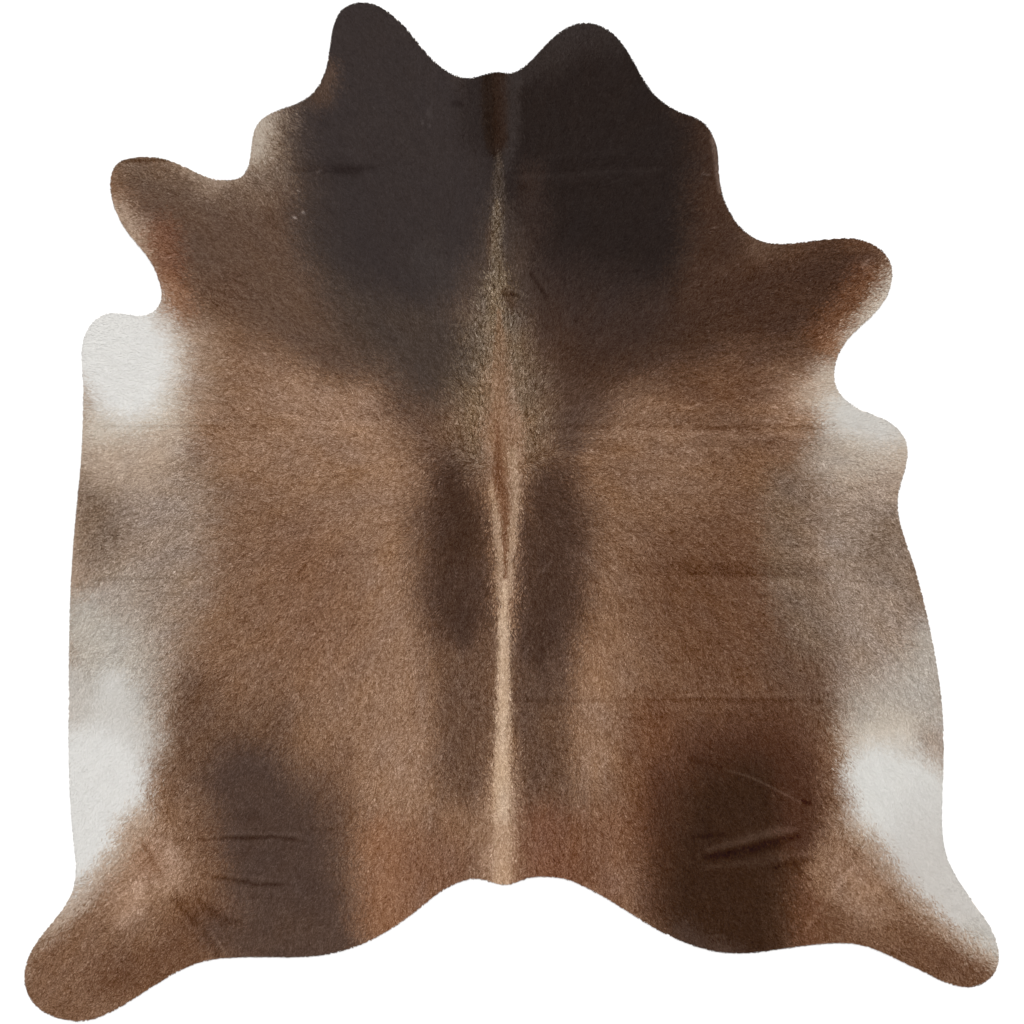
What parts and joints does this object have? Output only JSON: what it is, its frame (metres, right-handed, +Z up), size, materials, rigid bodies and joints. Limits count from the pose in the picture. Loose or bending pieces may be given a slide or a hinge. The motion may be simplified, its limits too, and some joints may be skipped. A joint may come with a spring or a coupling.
{
  "type": "cowhide rug",
  "caption": "Natural hair-on cowhide laid flat as a floor rug, cut along its own outline, with a dark neck, brown barrel, cream belly patches and a pale stripe down the back.",
  "frame": {"origin": "on the floor, under the middle of the hide's box", "axes": "+Y from the tail to the neck, +X to the hide's right as seen from above with the neck at the top, +Z up through the coat"},
  "size_m": [2.1042, 2.2, 0.0096],
  "materials": {
    "hair_on_hide": "short sleek hair on the upper side, brown to near black with cream patches, and pale suede flesh side below"
  },
  "bodies": {
    "root": {"hide": "hair_on_hide"}
  },
  "joints": []
}
